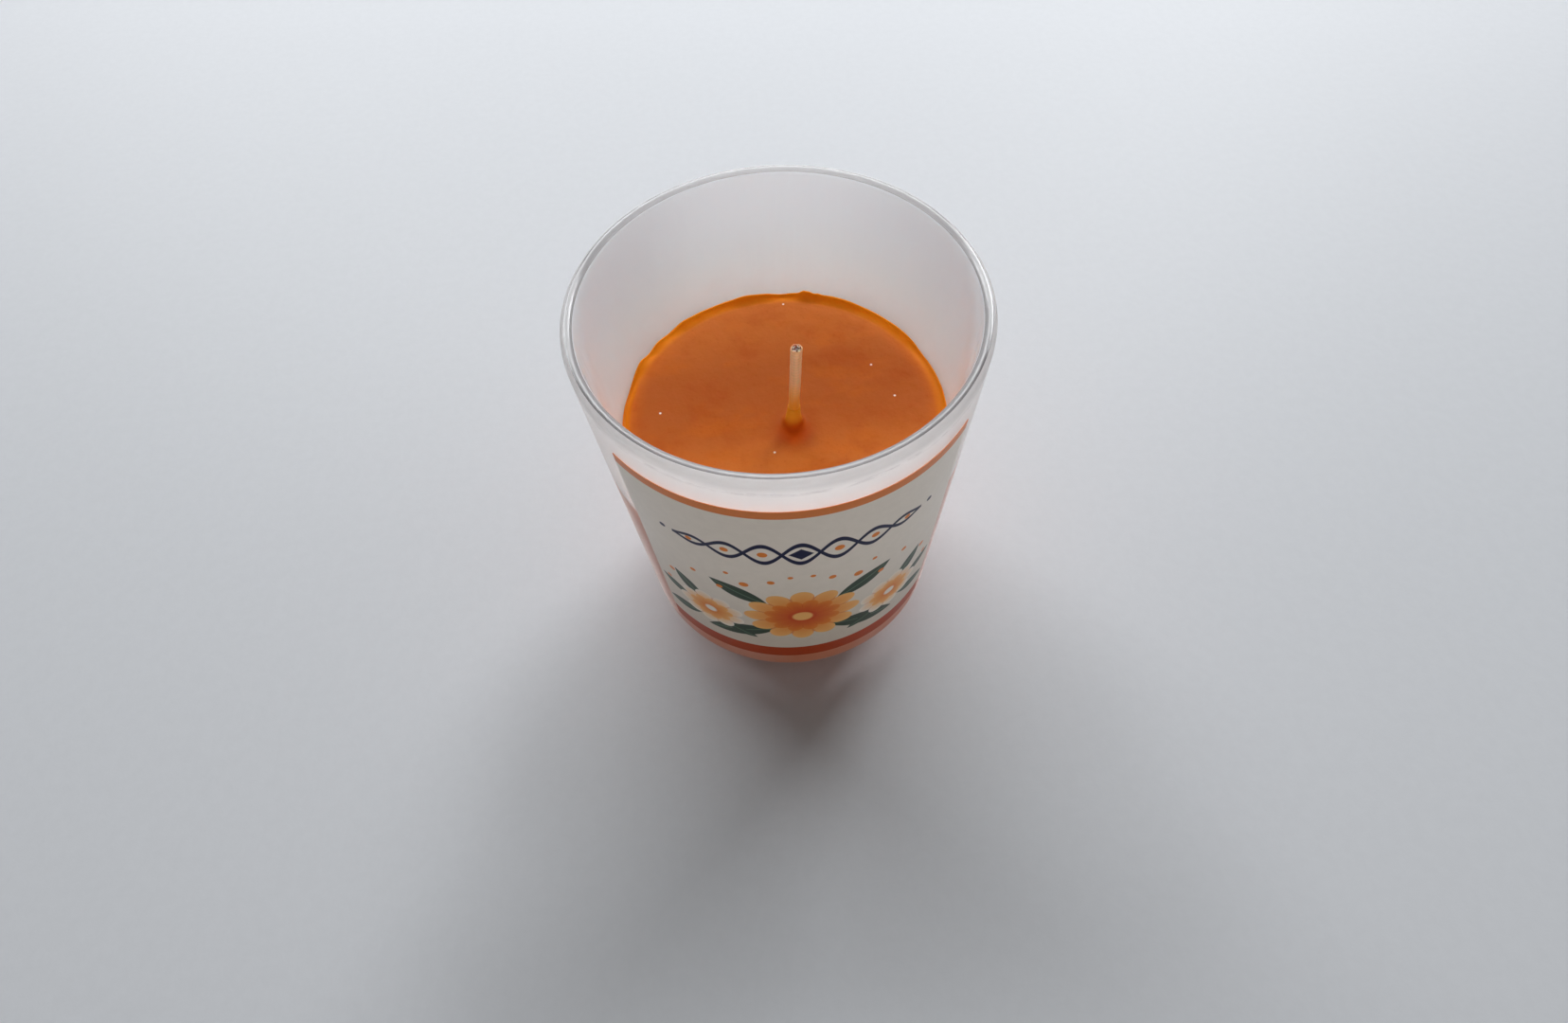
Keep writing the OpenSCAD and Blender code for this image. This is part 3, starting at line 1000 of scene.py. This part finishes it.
def table_top(stage):
    """Pale laminate with a fine grain, which fades into the backdrop far from the object."""
    finish = Finish("Table top", {"Roughness": 0.55, "Specular IOR Level": 0.3})
    place = finish.place()
    x, y, _ = finish.split(place)
    fleck = finish.noise(place, 0.35, 4.0, 0.6)
    finish.set("Base Color", finish.mix(finish.ramp(fleck, 0.3, 0.7), stage.table, shade(stage.table, 0.98)))
    finish.bump(fleck, 0.04 * MM)
    fade = finish.ramp(distance(x, y), FADE_NEAR, FADE_FAR) * finish.seen()
    far = finish.node("Emission", None, {"Color": opaque(stage.backdrop)})
    near = Value(finish, finish.shader.outputs[0])
    blend = finish.node("MixShader", None, {0: fade, 1: near, 2: far})
    finish.feed(finish.tree.nodes["Material Output"].inputs["Surface"], blend)
    return finish.material


def lay_table(scene, stage):
    """A large flat table just under the foot of the jar."""
    bm = bmesh.new()
    bmesh.ops.create_grid(bm, x_segments=8, y_segments=8, size=TABLE_REACH)
    mesh = bpy.data.meshes.new("table")
    bm.to_mesh(mesh)
    bm.free()
    mesh.materials.append(table_top(stage))
    table = bpy.data.objects.new("table", mesh)
    table.location.z = -TABLE_DROP
    scene.collection.objects.link(table)


def room_light(scene, stage):
    """A soft room, lighter behind the object and dark above it, which shows as a plain pale backdrop."""
    world = bpy.data.worlds.new("Room")
    world.use_nodes = True
    nodes = Nodes(world.node_tree)
    ground = world.node_tree.nodes["Background"]
    _, y, z = nodes.split(nodes.node("TexCoord", out="Generated"))
    lit = nodes.mix(nodes.ramp(y, -0.6, 0.4), stage.room, stage.sky)
    lit = nodes.mix(nodes.ramp(z, 0.0, 0.5), lit, stage.ceiling_tint)
    nodes.feed(ground.inputs["Color"], nodes.mix(nodes.seen(), lit, stage.backdrop))
    scene.world = world


def hang_lamps(scene, stage):
    """Soft lamps: window panes behind, a wall on the right, a low wall in front and a ceiling."""
    for name, spot, width, depth, energy, tone in (
        ("pane_left", (-0.52, 0.744, 0.713), 0.36, 0.37, stage.window * 0.8, COOL),
        ("pane_middle", (0.012, 0.744, 0.713), 0.62, 0.37, stage.window, COOL),
        ("pane_right", (0.544, 0.744, 0.713), 0.36, 0.37, stage.window * 1.2, COOL),
        ("side_wall", (1.3, -0.25, 0.55), 0.9, 0.9, stage.side, COOL),
        ("front_wall", (0.0, -1.3, 0.14), 1.2, 0.22, stage.front, WARM),
        ("ceiling", (0.0, 0.3, 1.5), 0.9, 0.9, stage.ceiling, COOL),
    ):
        light = bpy.data.lights.new(name, "AREA")
        light.shape = "RECTANGLE"
        light.size, light.size_y = width, depth
        light.energy = energy
        light.color = tone
        lamp = bpy.data.objects.new(name, light)
        lamp.location = spot
        lamp.rotation_euler = (LAMP_AIM - lamp.location).to_track_quat("-Z", "Y").to_euler()
        lamp.visible_camera = False
        scene.collection.objects.link(lamp)


def set_camera(scene, stage):
    """The camera, from its place and its pitch, yaw and roll."""
    flat = math.cos(CAMERA_PITCH)
    ahead = Vector((math.sin(CAMERA_YAW) * flat, math.cos(CAMERA_YAW) * flat, -math.sin(CAMERA_PITCH)))
    right = Vector((math.cos(CAMERA_YAW), -math.sin(CAMERA_YAW), 0))
    side = math.cos(CAMERA_ROLL) * right + math.sin(CAMERA_ROLL) * right.cross(ahead)
    turned = Matrix((side, side.cross(ahead), -ahead)).transposed().to_4x4()
    view = bpy.data.cameras.new("camera")
    view.lens = stage.lens
    view.sensor_width = 36.0
    view.sensor_fit = "HORIZONTAL"
    view.clip_start = 0.005
    camera = bpy.data.objects.new("camera", view)
    camera.matrix_world = Matrix.Translation(CAMERA_PLACE) @ turned
    scene.collection.objects.link(camera)
    scene.camera = camera


class CANDLE_OT_stage(bpy.types.Operator):
    """Lays the pale table, lights it from a window behind and sets the camera"""

    bl_idname = "candle.stage"
    bl_label = "Table, light and camera"
    bl_options = {"REGISTER", "UNDO"}

    def execute(self, context):
        scene = context.scene
        stage = scene.candle_stage
        scene.view_settings.view_transform = "Standard"
        lay_table(scene, stage)
        room_light(scene, stage)
        hang_lamps(scene, stage)
        set_camera(scene, stage)
        return {"FINISHED"}


class CANDLE_PT_panel(bpy.types.Panel):
    """Lists the pieces of the candle and their settings"""

    bl_idname = "CANDLE_PT_panel"
    bl_label = "Candle"
    bl_space_type = "VIEW_3D"
    bl_region_type = "UI"
    bl_category = "Candle"

    def draw(self, context):
        for operator, settings in ORDER:
            box = self.layout.box()
            box.operator(operator.bl_idname)
            group = getattr(context.scene, settings)
            for name in group.bl_rna.properties.keys():
                if name not in ("rna_type", "name"):
                    box.prop(group, name)


SETTINGS = {
    "candle_jar": JarSettings, "candle_label": LabelSettings, "candle_wax": WaxSettings,
    "candle_wick": WickSettings, "candle_stage": StageSettings,
}
ORDER = (
    (CANDLE_OT_jar, "candle_jar"), (CANDLE_OT_label, "candle_label"), (CANDLE_OT_wax, "candle_wax"),
    (CANDLE_OT_wick, "candle_wick"), (CANDLE_OT_wick_foot, "candle_wick"), (CANDLE_OT_stage, "candle_stage"),
)
CLASSES = (*SETTINGS.values(), *(operator for operator, _ in ORDER), CANDLE_PT_panel)


def register():
    for cls in CLASSES:
        bpy.utils.register_class(cls)
    for name, group in SETTINGS.items():
        setattr(bpy.types.Scene, name, PointerProperty(type=group))


def unregister():
    for name in SETTINGS:
        delattr(bpy.types.Scene, name)
    for cls in reversed(CLASSES):
        bpy.utils.unregister_class(cls)


def main():
    """Makes the candle and its stage."""
    register()
    bpy.ops.candle.jar()
    bpy.ops.candle.label()
    bpy.ops.candle.wax()
    bpy.ops.candle.wick()
    bpy.ops.candle.wick_foot()
    bpy.ops.candle.stage()
    bpy.context.view_layer.update()


if __name__ == "__main__":
    main()
